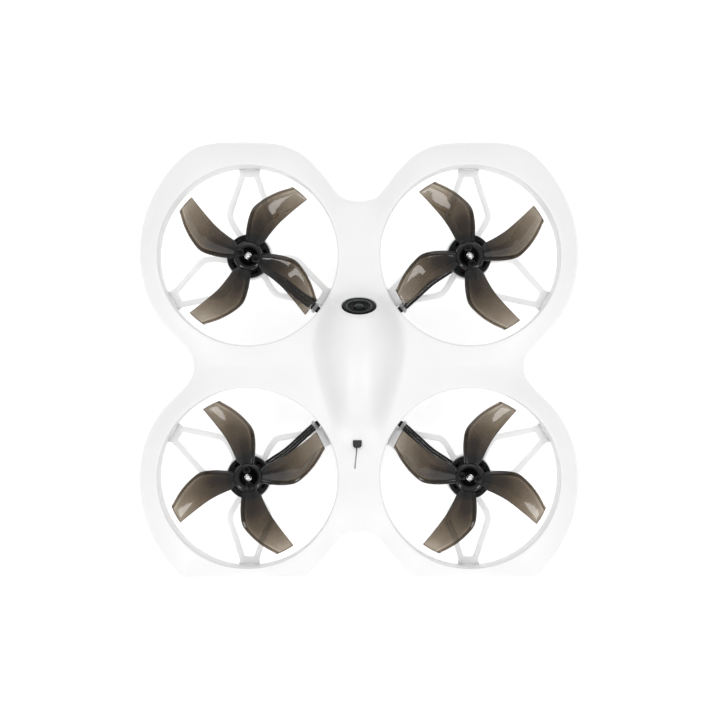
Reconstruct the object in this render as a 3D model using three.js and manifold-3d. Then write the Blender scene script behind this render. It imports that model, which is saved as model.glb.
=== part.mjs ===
// A palm-sized ducted quadcopter: four round ducts joined by a cross-shaped hull, a camera under
// a teardrop canopy, and a battery that slides into a tray below. Millimetres, +Z up, nose to +Y.
import * as THREE from 'three';
import { mergeVertices } from 'three/addons/utils/BufferGeometryUtils.js';
import Module from 'manifold-3d';

const wasm = await Module();
wasm.setup();

// ---- driving dimensions ----

const shaftSpacing = 67.2;      // between neighbouring motor shafts, along X and along Y
const gap = 0.3;                // left between pieces that touch
const slack = 0.3;              // around pins, screws and shafts in their holes
const past = 1;                 // how far a cutter runs beyond the face it opens
const facets = { duct: 36, motor: 20, shaft: 12, screw: 8, lens: 24 };  // flats that stand for a circle

const ductSize = {
  bore: 27.2, wall: 1.3, bottom: 12, top: 30, lipDrop: 1.6, lipRise: 0.3, lipIn: 0.26, lipOut: 0.9,
};
const rim = {
  edge: 34.8,                   // radius of the flared rim between its flats
  side: 33.2,                   // from a shaft to the flat side of its rim
  front: 34.5,                  // from a front shaft to the flat front of its rim
  rear: 30.6,                   // from a rear shaft to the flat back of its rim
  shoulder: 1.5,                // nearly level part outside the duct's wall
  fall: 4.8,                    // from the duct's top to the rim's edge
  thickness: 2.6,
  round: 1.2,
};
const hullSize = { top: 29.2, armBottom: 20, armHalf: 9, podHalf: 16, podHalfLength: 22, podEdge: 20 };
const notch = { reach: 50.3, half: 2.6, length: 6.2 };    // the hollow between two rims
const cavity = { half: 8.4, front: 17, rear: -14, floor: 14, mouth: 9.8 };
const slot = { width: 5, height: 3.2, length: 14 };       // for a motor cable, in duct and hull

const mount = { radius: 7.2, thickness: 2.4, bore: 2.2 };
const strut = {
  tipAt: 5.7, tipHalf: 2.6, bellyAt: 12.8, bellyHalf: 7.6, rootHalf: 3, solidFrom: 24,
  legWidth: 1.9,
  hole: { tipAt: 6.6, tipHalf: 1.55, rootAt: 21.5, rootHalf: 1.85 },
};

const motor = {
  radius: 6.7, baseRadius: 6.3, baseHeight: 1.3, baseBevel: 0.4, bellHeight: 5.2, wall: 1, crown: 1.2,
  bevel: 0.6, shaft: 0.75, shaftProud: 1.2,
};
const vent = { count: 6, first: 30, inner: 4.3, outer: 5.5, half: 1 };
const core = {
  teeth: 9, bore: 1.1, radius: 2.8, root: 2.5, neckHalf: 0.45, shoeHalf: 1.1, shoe: 4.5,
  outer: 5, outerHalf: 0.9, lift: 0.1, clear: 1.7,
};

const prop = {
  hub: 4.4, hubHeight: 4.2, radius: 24.85, blades: 4, camber: 0.35, rootThick: 0.9, tipThick: 0.5,
  pitch: 50.8,                  // advance per turn, which sets each blade's twist
  steepest: 0.62,               // the twist stops growing here, near the hub
  pieces: [7, 3],               // facets out along a blade and across it
  edgeThick: 0.5,               // share of a blade's thickness left at its edges
};
// A blade's two edges, in degrees ahead of its tip's leading corner, at shares of the radius
const bladeEdges = {
  share: [0.14, 0.27, 0.43, 0.61, 0.8, 0.94, 0.9999],
  leading: [44, 39, 33.5, 26.2, 12.3, 3.5, 0],
  trailing: [-16, -15, -10, -10, -11.5, -12.5, -13],
};
const propScrew = {
  circle: 2.45, turn: 102, radius: 0.8, reach: 1, head: 1.25, headHeight: 0.8, lift: 0.2,
};

const canopy = { middle: 4, half: 12.4, height: 12.8, front: 21, rear: 25, wall: 1.2 };
const lens = {
  y: 18.3, z: 34.5, tilt: THREE.MathUtils.degToRad(31), radius: 4.95, opening: 5.4, stem: 3.6, stemEnd: 5.9,
  flange: 1.4, seat: 0.6, proud: 0.2, bore: 4.3,
};
const glass = { radius: 3.95, shoulder: 2.37, sink: 0.05, rise: 0.5, crown: 0.75 };
const camera = { back: 6.3, depth: 7, half: 6.5 };
const ear = { inner: 7, outer: 8, low: 18, floor: 1, rise: 2.2, halfDepth: 2.4 };
const sideScrew = { radius: 0.8, head: 1.5, headHeight: 0.9 };

const boardSize = { low: 15.6, thickness: 1.2, half: 7.9, front: 5, rear: -11.4 };
const videoBoard = { low: 22, thickness: 1, half: 7, front: 1.5 };
const usb = { left: -6.9, right: -2, rear: -3, front: 2.2, height: 2.6 };
const button = { x: 4.5, y: -8, radius: 0.9, lift: 0.6, height: 1 };

const cable = {
  radii: [7.1, 13, 23.2, 29.2, 33.2],   // from the motor's shaft, along the route
  lift: 0.45, rise: 0.3, halfWidth: 1.2, halfHeight: 0.42, round: 0.25,
};
const antenna = {
  x: -0.5, half: 1.4, rearHalf: 1, behind: 1.1, length: 2.3, height: 2.2, wire: 0.25,
  route: [[-0.7, -24.85, 31.2], [-0.8, -26.2, 33.6], [-1, -27.9, 37], [-1.2, -30.2, 40.6]],
};
const tray = { length: 42, width: 18.6, wall: 0.95, ahead: 1, window: 5.5, sill: 1.5 };
const battery = { width: 16, height: 9.3, length: 45, front: 21, round: 1.6 };
const socket = { half: 3.6, rear: -27.6, front: -22.3, low: 13.4, high: 18.6, wall: 0.8, back: 1.3 };

// ---- levels and places that follow from them ----

const half = shaftSpacing / 2;
const ductOuter = ductSize.bore + ductSize.wall;
const mountTop = ductSize.bottom + mount.thickness;
const baseTop = mountTop + gap + motor.baseHeight;
const bellBottom = baseTop + gap;
const bellTop = bellBottom + motor.bellHeight;
const hubBottom = bellTop + gap;
const hubTop = hubBottom + prop.hubHeight;
const canopyBase = hullSize.top + gap;
const canopyRear = canopy.middle - canopy.rear;
const boardTop = boardSize.low + boardSize.thickness;
const trayTop = ductSize.bottom - gap;
const midOrigin = (rim.rear - rim.front) / 2;   // puts the origin midway between nose and tail

// Each corner: where it is, its three strut directions, the directions of its motor cable and of
// its cable slot, the way its propeller turns (1 is counter-clockwise from above) and the angle of
// a blade at rest.
const corners = [
  {
    name: 'front_left', x: -1, y: 1, struts: [90, 210, 332], cable: -34, slot: -37.5, spin: 1, blade: 56.7,
  },
  {
    name: 'front_right', x: 1, y: 1, struts: [90, 330, 208], cable: 214, slot: 217.5, spin: -1, blade: 25.5,
  },
  {
    name: 'rear_left', x: -1, y: -1, struts: [270, 150, 28], cable: 34, slot: 37.5, spin: -1, blade: 20.9,
  },
  {
    name: 'rear_right', x: 1, y: -1, struts: [270, 30, 152], cable: 146, slot: 142.5, spin: 1, blade: 67.8,
  },
];

// ---- colours ----

const plastic = (color, roughness = 0.5) =>
  new THREE.MeshStandardMaterial({ color, roughness, metalness: 0 });
const metal = (color, roughness = 0.35) =>
  new THREE.MeshStandardMaterial({ color, roughness, metalness: 1 });

const look = {
  shell: plastic(0xf1f1ef, 0.45),
  black: plastic(0x1c1e1e, 0.45),
  motor: metal(0x202323, 0.4),
  steel: metal(0xc9cbcc, 0.25),
  copper: metal(0x9a5a34, 0.4),
  prop: plastic(0x6c655c, 0.2),
  board: plastic(0x14231c, 0.6),
  battery: plastic(0x2b2d31, 0.5),
  glass: plastic(0x18211f, 0.05),
};

// ---- solids ----

function signedVolume(geometry) {
  const p = geometry.attributes.position;
  const index = geometry.index.array;
  const [a, b, c] = [0, 1, 2].map(() => new THREE.Vector3());
  let six = 0;
  for (let i = 0; i < index.length; i += 3) {
    a.fromBufferAttribute(p, index[i]);
    b.fromBufferAttribute(p, index[i + 1]);
    c.fromBufferAttribute(p, index[i + 2]);
    six += a.dot(b.cross(c));
  }
  return six / 6;
}

function solid(geometry) {
  geometry.deleteAttribute('normal');
  geometry.deleteAttribute('uv');
  const merged = mergeVertices(geometry, 1e-4);
  const triVerts = Uint32Array.from(merged.index.array);
  if (signedVolume(merged) < 0) {
    triVerts.reverse();
  }
  const vertProperties = Float32Array.from(merged.attributes.position.array);
  return new wasm.Manifold(new wasm.Mesh({ numProp: 3, vertProperties, triVerts }));
}

function geometryOf(manifold) {
  const { vertProperties, triVerts } = manifold.getMesh();
  const geometry = new THREE.BufferGeometry();
  geometry.setAttribute('position', new THREE.BufferAttribute(vertProperties, 3));
  geometry.setIndex(new THREE.BufferAttribute(triVerts, 1));
  geometry.computeVertexNormals();
  return geometry;
}

const joined = (...solids) => solids.reduce((sum, next) => sum.add(next));
const cut = (body, ...tools) => tools.reduce((rest, tool) => rest.subtract(tool), body);

// A block between two corners
function block(low, high) {
  const box = new THREE.BoxGeometry(...high.map((v, i) => v - low[i]));
  box.translate(...high.map((v, i) => (v + low[i]) / 2));
  return solid(box);
}

// A block between two heights, whose plan has any two opposite corners
function blockOver([ax, ay], [bx, by], low, high) {
  return block([Math.min(ax, bx), Math.min(ay, by), low], [Math.max(ax, bx), Math.max(ay, by), high]);
}

// A solid turned about the Z axis from [radius, height] points that start and end on the axis,
// or close on themselves
function turned(points, segments) {
  const profile = points.map(([r, z]) => new THREE.Vector2(r, z));
  const lathe = new THREE.LatheGeometry(profile, segments);
  lathe.rotateX(Math.PI / 2);
  return solid(lathe);
}

const rod = (radius, low, high, segments = facets.shaft) =>
  turned([[0, low], [radius, low], [radius, high], [0, high]], segments);
const ring = (inner, outer, low, high, segments) =>
  turned([[inner, low], [outer, low], [outer, high], [inner, high], [inner, low]], segments);

// A flat outline of [x, y] points, raised between two heights
function plate(outline, low, high) {
  const shape = new THREE.Shape(outline.map(([x, y]) => new THREE.Vector2(x, y)));
  const raised = new THREE.ExtrudeGeometry(shape, { depth: high - low, bevelEnabled: false });
  raised.translate(0, 0, low);
  return solid(raised);
}

const mirroredOutline = (side) => [...side, ...side.map(([x, y]) => [x, -y]).reverse()];
const turnedBy = (body, angle) => body.rotate([0, 0, angle]);
const movedBy = (body, x, y) => body.translate([x, y, 0]);
const around = (body, count, first = 0) =>
  Array.from({ length: count }, (_, i) => turnedBy(body, first + (360 * i) / count));
const polar = (radius, degrees) => {
  const angle = THREE.MathUtils.degToRad(degrees);
  return [radius * Math.cos(angle), radius * Math.sin(angle)];
};

// ---- the assembly ----

const drone = new THREE.Group();
drone.name = 'ducted_quadcopter';
drone.position.y = midOrigin;

function add(name, body, material, parent = drone) {
  const mesh = new THREE.Mesh(geometryOf(body), material);
  mesh.name = name;
  parent.add(mesh);
  return mesh;
}

// ---- ducts ----

// A radial window above the strut, for the motor cable
function cableWindow(corner, inner, outer) {
  const low = mountTop - gap;
  const window = block([inner, -slot.width / 2, low], [outer, slot.width / 2, low + slot.height]);
  return turnedBy(window, corner.slot);
}

function duct(corner) {
  const { bore, wall, bottom, top, lipDrop, lipRise, lipIn, lipOut } = ductSize;
  const tube = turned([
    [bore, bottom], [ductOuter, bottom], [ductOuter, top - wall], [bore + lipOut, top],
    [bore + lipIn, top - lipRise], [bore, top - lipDrop], [bore, bottom],
  ], facets.duct);
  const root = ductOuter - wall / 2;
  const flare = turned([
    [root, top - rim.thickness], [rim.edge - rim.round, top - rim.fall - rim.round / 2],
    [rim.edge, top - rim.fall], [rim.edge - rim.round / 3, top - rim.fall + rim.round],
    [ductOuter + rim.shoulder, top - rim.round / 2], [root, top - rim.round / 6],
    [root, top - rim.thickness],
  ], facets.duct);
  const inward = half - hullSize.armHalf - gap;
  const reach = corner.y > 0 ? rim.front : rim.rear;
  const lobe = blockOver(
    [-inward * corner.x, -inward * corner.y], [rim.side * corner.x, reach * corner.y], 0, top + past,
  );
  const corePlace = half - hullSize.podEdge;
  const overPod = blockOver(
    [-half * corner.x, -half * corner.y], [-corePlace * corner.x, -corePlace * corner.y], 0, top + past,
  );
  const window = cableWindow(corner, bore - past, ductOuter + past);
  return cut(joined(tube, cut(flare.intersect(lobe), overPod)), window);
}

// ---- motor mounts: a ring plate on three forked struts ----

function forkedStrut() {
  const { tipAt, tipHalf, bellyAt, bellyHalf, rootHalf, solidFrom, legWidth, hole } = strut;
  const outline = mirroredOutline([
    [tipAt, tipHalf], [bellyAt, bellyHalf], [solidFrom, rootHalf], [ductSize.bore - gap, rootHalf],
  ]);
  const opening = mirroredOutline([
    [hole.tipAt, hole.tipHalf], [bellyAt, bellyHalf - legWidth], [hole.rootAt, hole.rootHalf],
  ]);
  return cut(
    plate(outline, ductSize.bottom, mountTop),
    plate(opening, ductSize.bottom - past, mountTop + past),
  );
}

function motorMount(corner) {
  const disc = rod(mount.radius, ductSize.bottom, mountTop, facets.motor);
  const arms = corner.struts.map((angle) => turnedBy(forkedStrut(), angle));
  return cut(joined(disc, ...arms), rod(mount.bore, ductSize.bottom - past, mountTop + past));
}

// ---- motors ----

function motorBase() {
  const low = mountTop + gap;
  const { baseRadius: outer, baseBevel: bevel } = motor;
  return turned([
    [core.bore, low], [outer, low], [outer, baseTop - bevel], [outer - bevel, baseTop],
    [core.bore, baseTop], [core.bore, low],
  ], facets.motor);
}

function stator() {
  const low = bellBottom + core.lift;
  const high = bellTop - core.clear;
  const tooth = plate(mirroredOutline([
    [core.root, -core.neckHalf], [core.shoe, -core.neckHalf], [core.shoe, -core.shoeHalf],
    [core.outer, -core.outerHalf],
  ]), low, high);
  return joined(ring(core.bore, core.radius, low, high, facets.shaft), ...around(tooth, core.teeth));
}

function motorBell(corner) {
  const inner = motor.radius - motor.wall;
  const bore = motor.shaft + slack;
  const shell = turned([
    [inner, bellBottom], [motor.radius, bellBottom], [motor.radius, bellTop - motor.bevel],
    [motor.radius - motor.bevel, bellTop], [bore, bellTop], [bore, bellTop - motor.crown],
    [inner, bellTop - motor.crown], [inner, bellBottom],
  ], facets.motor);
  const window = block(
    [vent.inner, -vent.half, bellTop - motor.crown - past], [vent.outer, vent.half, bellTop + past],
  );
  return cut(shell, ...around(window, vent.count, vent.first), ...screwHoles(corner));
}

// ---- propellers ----

function edgeAngle(edge, share) {
  const shares = bladeEdges.share;
  const values = bladeEdges[edge];
  const i = shares.findLastIndex((s, k) => k < shares.length - 1 && (k === 0 || s <= share));
  const t = (share - shares[i]) / (shares[i + 1] - shares[i]);
  return THREE.MathUtils.lerp(values[i], values[i + 1], t);
}

// A box bent into one cambered, twisted blade: its X runs outwards, its Y across the chord
function blade(spin) {
  const { lerp, clamp, degToRad } = THREE.MathUtils;
  const box = new THREE.BoxGeometry(1, 1, 1, ...prop.pieces, 1);
  const p = box.attributes.position;
  const middle = (hubBottom + hubTop) / 2;
  for (let i = 0; i < p.count; i += 1) {
    const out = clamp(p.getX(i) + 0.5, 0, 1);
    const chord = clamp(p.getY(i) + 0.5, 0, 1);
    const share = lerp(bladeEdges.share.at(0), bladeEdges.share.at(-1), out);
    const radius = prop.radius * share;
    const [back, lead] = [edgeAngle('trailing', share), edgeAngle('leading', share)];
    const degrees = lerp(back, lead, chord);
    const slope = Math.min(prop.steepest, prop.pitch / (2 * Math.PI * radius));
    const reach = degToRad(degrees - (back + lead) / 2) * radius;
    const bulge = Math.sin(Math.PI * chord);
    const thickness = lerp(prop.rootThick, prop.tipThick, out) * lerp(prop.edgeThick, 1, bulge);
    const [x, y] = polar(radius, degrees * spin);
    p.setXYZ(i, x, y, middle + reach * slope + prop.camber * bulge + p.getZ(i) * thickness);
  }
  return solid(box);
}

const screwPlaces = (corner) => [0, 180].map((turn) =>
  polar(propScrew.circle, corner.blade + propScrew.turn * corner.spin + turn));
const screwHoles = (corner) => screwPlaces(corner).map(([x, y]) =>
  movedBy(rod(propScrew.radius + slack, bellTop - motor.crown - past, hubTop + past, facets.screw), x, y));

function propeller(corner) {
  const hub = rod(prop.hub, hubBottom, hubTop, facets.motor);
  const blades = around(blade(corner.spin), prop.blades, corner.blade);
  const bore = rod(motor.shaft + slack, hubBottom - past, hubTop + past);
  return cut(joined(hub, ...blades), bore, ...screwHoles(corner));
}

function propellerScrew() {
  const { radius, reach, head, headHeight, lift } = propScrew;
  const [tip, seat] = [bellTop - reach, hubTop + lift];
  return turned([
    [0, tip], [radius, tip], [radius, seat], [head, seat], [head, seat + headHeight],
    [0, seat + headHeight],
  ], facets.screw);
}

// ---- motor cables: three wires side by side, held along the inner strut ----

function motorCable(corner) {
  const { radii, lift, rise, halfWidth: w, halfHeight: h, round } = cable;
  const low = mountTop + gap + lift;
  const route = radii.map((radius, i) => {
    const [x, y] = polar(radius, i < 2 ? corner.cable : corner.slot);
    return new THREE.Vector3(x, y, radius > ductSize.bore ? low + rise : low);
  });
  const path = new THREE.CatmullRomCurve3(route);
  const section = new THREE.Shape([
    [h, round - w], [h, w - round], [h - round, w], [round - h, w], [-h, w - round],
    [-h, round - w], [round - h, -w], [h - round, -w],
  ].map(([x, y]) => new THREE.Vector2(x, y)));
  return solid(new THREE.ExtrudeGeometry(section, { steps: 10, extrudePath: path, bevelEnabled: false }));
}

for (const corner of corners) {
  const place = new THREE.Group();
  place.position.set(half * corner.x, half * corner.y, 0);
  drone.add(place);
  const shaft = rod(motor.shaft, mountTop + gap, hubTop + motor.shaftProud);
  add(`duct_${corner.name}`, duct(corner), look.shell, place);
  add(`motor_mount_${corner.name}`, motorMount(corner), look.shell, place);
  add(`motor_base_${corner.name}`, motorBase(), look.motor, place);
  add(`stator_${corner.name}`, stator(), look.copper, place);
  add(`motor_bell_${corner.name}`, motorBell(corner), look.motor, place);
  add(`shaft_${corner.name}`, shaft, look.steel, place);
  add(`propeller_${corner.name}`, propeller(corner), look.prop, place);
  add(`motor_cable_${corner.name}`, motorCable(corner), look.black, place);
  screwPlaces(corner).forEach(([x, y], i) => {
    const screw = add(`prop_screw_${corner.name}_${i + 1}`, propellerScrew(), look.motor, place);
    screw.position.set(x, y, 0);
  });
}

// ---- directions along and across the tilted camera ----

const tiltDegrees = THREE.MathUtils.radToDeg(lens.tilt);
const behindLens = (distance) =>
  [lens.y - distance * Math.cos(lens.tilt), lens.z - distance * Math.sin(lens.tilt)];
const alongLens = (body) => body.rotate([tiltDegrees - 90, 0, 0]).translate([0, lens.y, lens.z]);
const [pivotY, pivotZ] = behindLens(camera.back + camera.depth / 2);
const alongPivot = (body) => body.rotate([0, 90, 0]).translate([0, pivotY, pivotZ]);

// ---- hull: a middle pod with four arms, hollow for the electronics ----

function arm() {
  const outer = notch.reach + notch.length;
  const side = [[0, hullSize.armHalf], [outer, hullSize.armHalf - gap], [notch.reach, notch.half]];
  return plate(mirroredOutline(side), hullSize.armBottom, hullSize.top);
}

function hull() {
  const { top, podHalf, podHalfLength } = hullSize;
  const pod = block([-podHalf, -podHalfLength, ductSize.bottom], [podHalf, podHalfLength, top]);
  const clearances = corners.map(({ x, y }) =>
    movedBy(rod(ductOuter + gap, 0, ductSize.top + past, facets.duct), half * x, half * y));
  const hollow = block([-cavity.half, cavity.rear, cavity.floor], [cavity.half, cavity.front, top + past]);
  const screwRoom = block(
    [-cavity.mouth, pivotY - ear.halfDepth, pivotZ - ear.halfDepth],
    [cavity.mouth, pivotY + ear.halfDepth, top + past],
  );
  const windows = corners.map((corner) => {
    const window = cableWindow(corner, ductSize.bore, ductSize.bore + slot.length);
    return movedBy(window, half * corner.x, half * corner.y);
  });
  return cut(joined(pod, ...around(arm(), 4)), ...clearances, hollow, screwRoom, ...windows);
}
add('centre_hull', hull(), look.shell);

// ---- canopy: a teardrop dome, cut flat across its front where the lens looks out ----

function dome(shrink) {
  const ball = new THREE.SphereGeometry(1, 28, 18);
  const p = ball.attributes.position;
  for (let i = 0; i < p.count; i += 1) {
    const [x, y, z] = [p.getX(i), p.getZ(i), p.getY(i)];
    const length = y > 0 ? canopy.front : canopy.rear;
    p.setXYZ(
      i,
      x * (canopy.half - shrink),
      canopy.middle + y * (length - shrink),
      canopyBase + z * (canopy.height - shrink),
    );
  }
  return solid(ball);
}

// Everything ahead of a plane square to the lens, set back from the lens's front
function aheadOfLens(setback) {
  const wide = 2 * canopy.front;
  const box = block([-wide, 0, -wide], [wide, wide, wide]);
  return box.rotate([tiltDegrees, 0, 0]).translate([0, ...behindLens(setback)]);
}

function canopyShell() {
  const reach = 2 * canopy.rear;
  const above = block([-reach, -reach, canopyBase], [reach, reach, 2 * reach]);
  const outer = cut(dome(0), aheadOfLens(lens.seat)).intersect(above);
  const inner = cut(dome(canopy.wall), aheadOfLens(lens.seat + canopy.wall));
  const opening = alongLens(rod(lens.opening, -lens.radius, lens.radius, facets.lens));
  return cut(outer, inner, opening);
}
add('canopy', canopyShell(), look.shell);

// ---- camera ----

add('lens_barrel', alongLens(turned([
  [0, -lens.stemEnd], [lens.stem, -lens.stemEnd], [lens.stem, -lens.flange - lens.seat],
  [lens.radius, -lens.flange], [lens.radius, lens.proud], [lens.bore, lens.proud],
  [lens.bore, -lens.seat], [0, -lens.seat],
], facets.lens)), look.black);
add('lens_glass', alongLens(turned([
  [0, -gap], [glass.radius, -gap], [glass.radius, -glass.sink], [glass.shoulder, glass.rise],
  [0, glass.crown],
], facets.lens)), look.glass);
add('camera_body', alongLens(block(
  [-camera.half, -camera.half, -camera.back - camera.depth], [camera.half, camera.half, -camera.back],
)), look.black);

function cameraBracket() {
  const high = pivotZ + ear.rise;
  const cheek = block(
    [-ear.outer, pivotY - ear.halfDepth, ear.low], [ear.outer, pivotY + ear.halfDepth, high],
  );
  const space = block(
    [-ear.inner, pivotY - ear.halfDepth - past, ear.low + ear.floor],
    [ear.inner, pivotY + ear.halfDepth + past, high + past],
  );
  const through = ear.outer + past;
  return cut(cheek, space, alongPivot(rod(sideScrew.radius + slack, -through, through)));
}
add('camera_bracket', cameraBracket(), look.black);

for (const [side, turn] of [['left', 180], ['right', 0]]) {
  const [tip, seat] = [camera.half + gap, ear.outer + gap];
  const screw = turned([
    [0, tip], [sideScrew.radius, tip], [sideScrew.radius, seat], [sideScrew.head, seat],
    [sideScrew.head, seat + sideScrew.headHeight], [0, seat + sideScrew.headHeight],
  ], facets.shaft);
  add(`camera_screw_${side}`, alongPivot(screw.rotate([0, turn, 0])), look.steel);
}

// ---- electronics in the hull ----

add('flight_controller_board', block(
  [-boardSize.half, boardSize.rear, boardSize.low], [boardSize.half, boardSize.front, boardTop],
), look.board);
add('video_board', block(
  [-videoBoard.half, boardSize.rear, videoBoard.low],
  [videoBoard.half, videoBoard.front, videoBoard.low + videoBoard.thickness],
), look.board);
add('usb_port', block(
  [usb.left, usb.rear, boardTop + gap], [usb.right, usb.front, boardTop + gap + usb.height],
), look.steel);
const buttonLow = boardTop + button.lift;
const buttonCap = rod(button.radius, buttonLow, buttonLow + button.height, facets.motor);
add('bind_button', movedBy(buttonCap, button.x, button.y), look.black);

// ---- antenna behind the canopy ----

function antennaBase() {
  const front = canopyRear - antenna.behind;
  const rear = front - antenna.length;
  const outline = [
    [antenna.x - antenna.half, front], [antenna.x - antenna.rearHalf, rear],
    [antenna.x + antenna.rearHalf, rear], [antenna.x + antenna.half, front],
  ];
  return plate(outline, canopyBase, canopyBase + antenna.height);
}
add('antenna_base', antennaBase(), look.black);

// A short stiff wire, leaning back as it rises
const antennaPath = new THREE.CatmullRomCurve3(
  antenna.route.map((point) => new THREE.Vector3(...point)),
);
const antennaSection = new THREE.Shape().absarc(0, 0, antenna.wire, 0, 2 * Math.PI);
add('antenna_wire', solid(new THREE.ExtrudeGeometry(antennaSection, {
  steps: 10, curveSegments: 4, extrudePath: antennaPath, bevelEnabled: false,
})), look.steel);

// ---- battery, its tray below the hull and its socket behind the hull's middle ----

function batteryTray() {
  const [rear, front] = [tray.ahead - tray.length / 2, tray.ahead + tray.length / 2];
  const [outer, inner] = [tray.width / 2, tray.width / 2 - tray.wall];
  const sleeve = block([-outer, rear, 0], [outer, front, trayTop]);
  const inside = block([-inner, rear - past, tray.wall], [inner, battery.front + gap, trayTop - tray.wall]);
  const mouth = block(
    [-tray.window, rear, tray.wall + tray.sill],
    [tray.window, front + past, trayTop - tray.wall - tray.sill],
  );
  return cut(sleeve, inside, mouth);
}
add('battery_tray', batteryTray(), look.shell);

function batteryPack() {
  const { length, front, round: r } = battery;
  const [w, h] = [battery.width / 2, battery.height / 2];
  const outline = new THREE.Shape();
  outline.absarc(w - r, h - r, r, 0, Math.PI / 2);
  outline.absarc(r - w, h - r, r, Math.PI / 2, Math.PI);
  outline.absarc(r - w, r - h, r, Math.PI, 1.5 * Math.PI);
  outline.absarc(w - r, r - h, r, 1.5 * Math.PI, 2 * Math.PI);
  const pack = new THREE.ExtrudeGeometry(outline, { depth: length, curveSegments: 3, bevelEnabled: false });
  pack.rotateX(Math.PI / 2);
  pack.translate(0, front, tray.wall + gap + h);
  return solid(pack);
}
add('battery_pack', batteryPack(), look.battery);

function batterySocket() {
  const { half: w, rear, front, low, high, wall, back } = socket;
  const shell = block([-w, rear, low], [w, front, high]);
  return cut(shell, block([wall - w, rear - past, low + wall], [w - wall, front - back, high - wall]));
}
add('battery_socket', batterySocket(), look.black);

export default drone;
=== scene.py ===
"""A white ducted quadcopter, seen from straight above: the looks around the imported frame.

Shapes are worked out in millimetres about the middle of the four shafts, then placed in metres.
"""
import math
import random

import bmesh
import bpy
import numpy as np
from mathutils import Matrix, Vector
from mathutils.geometry import delaunay_2d_cdt


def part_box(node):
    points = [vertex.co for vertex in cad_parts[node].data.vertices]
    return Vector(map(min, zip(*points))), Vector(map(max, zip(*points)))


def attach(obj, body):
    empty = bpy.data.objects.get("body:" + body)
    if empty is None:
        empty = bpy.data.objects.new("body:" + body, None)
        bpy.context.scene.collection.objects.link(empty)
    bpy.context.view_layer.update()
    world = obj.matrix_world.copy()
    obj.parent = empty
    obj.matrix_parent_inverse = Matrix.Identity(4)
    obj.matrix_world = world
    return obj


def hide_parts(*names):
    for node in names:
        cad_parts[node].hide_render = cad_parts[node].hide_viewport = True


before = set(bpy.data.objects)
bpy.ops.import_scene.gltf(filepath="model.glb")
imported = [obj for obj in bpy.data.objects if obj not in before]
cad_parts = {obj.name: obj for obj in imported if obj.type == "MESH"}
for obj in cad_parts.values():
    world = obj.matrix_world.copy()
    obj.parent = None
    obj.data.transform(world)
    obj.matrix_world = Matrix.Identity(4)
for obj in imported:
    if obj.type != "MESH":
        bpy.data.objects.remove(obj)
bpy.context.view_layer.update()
MM = 0.001
random.seed(7)

# ---- places and sizes, in millimetres, read from the frame ----

CORNERS = ("front_left", "front_right", "rear_left", "rear_right")


def box_mm(node):
    low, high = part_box(node)
    return low / MM, high / MM


def levels(node):
    """A node's lowest and highest level."""
    return [point.z for point in box_mm(node)]


def plan_box(node):
    """A node's box about the middle of the shafts."""
    return [np.array([point.x, point.y - MIDDLE_Y, point.z]) for point in box_mm(node)]


SHAFTS = {corner: sum(box_mm("shaft_" + corner), Vector()) / 2 for corner in CORNERS}
MIDDLE_Y = sum(place.y for place in SHAFTS.values()) / len(SHAFTS)
HALF = SHAFTS["front_right"].x  # from the middle to a shaft, sideways and lengthways
DUCT_BOTTOM, DUCT_TOP = levels("duct_front_right")
DUCT_BORE = 27.2
DUCT_OUTER = 28.5
GAP = 0.3                       # between neighbouring pieces of the frame


def hub_of(corner):
    """A corner's shaft in plan, about the middle of the shafts."""
    return (HALF if "right" in corner else -HALF), (HALF if "front" in corner else -HALF)


def mirrored_angle(degrees, corner):
    """A direction from the front left shaft, mirrored to another corner's."""
    across = 180 - degrees if "right" in corner else degrees
    return across if "front" in corner else -across


# ---- small helpers ----

def lerp(a, b, t):
    return a + (b - a) * t


def smoothstep(low, high, value):
    t = np.clip((value - low) / (high - low), 0, 1)
    return t * t * (3 - 2 * t)


def smooth_max(a, b, reach):
    """The larger of two heights, with a fillet where they cross."""
    h = np.clip(0.5 + 0.5 * (a - b) / reach, 0, 1)
    return b + (a - b) * h + reach * h * (1 - h)


def smooth_min(a, b, reach):
    return -smooth_max(-a, -b, reach)


def polar(radius, degrees):
    angle = math.radians(degrees)
    return radius * math.cos(angle), radius * math.sin(angle)


def catmull(points, per_span, closed=False):
    """Points on a smooth curve through the given ones."""
    pts = [np.array(p, float) for p in points]
    if closed:
        pts = [pts[-1], *pts, pts[0], pts[1]]
    else:
        pts = [2 * pts[0] - pts[1], *pts, 2 * pts[-1] - pts[-2]]
    found = []
    for a, b, c, d in zip(pts, pts[1:], pts[2:], pts[3:]):
        for step in range(per_span):
            t = step / per_span
            found.append(0.5 * (2 * b + (c - a) * t + (2 * a - 5 * b + 4 * c - d) * t ** 2
                                + (3 * b - a - 3 * c + d) * t ** 3))
    if not closed:
        found.append(pts[-2])
    return np.array(found)


def evenly(loop, spacing):
    """A closed loop resampled at about one spacing."""
    ring = np.vstack([loop, loop[:1]])
    run = np.concatenate([[0], np.cumsum(np.linalg.norm(np.diff(ring, axis=0), axis=1))])
    marks = np.linspace(0, run[-1], int(run[-1] / spacing), endpoint=False)
    return np.column_stack([np.interp(marks, run, ring[:, k]) for k in range(2)])


def inset(loop, depth):
    """A counter-clockwise loop moved inwards by depth."""
    ahead = np.roll(loop, -1, axis=0) - np.roll(loop, 1, axis=0)
    ahead /= np.linalg.norm(ahead, axis=1)[:, None]
    inward = np.column_stack([-ahead[:, 1], ahead[:, 0]])
    return loop + inward * depth


def leftward(path):
    """The unit direction to the left of an open path in plan, at each of its points."""
    ahead = np.gradient(path, axis=0)
    ahead /= np.linalg.norm(ahead, axis=1)[:, None]
    return np.column_stack([-ahead[:, 1], ahead[:, 0]])


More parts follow.
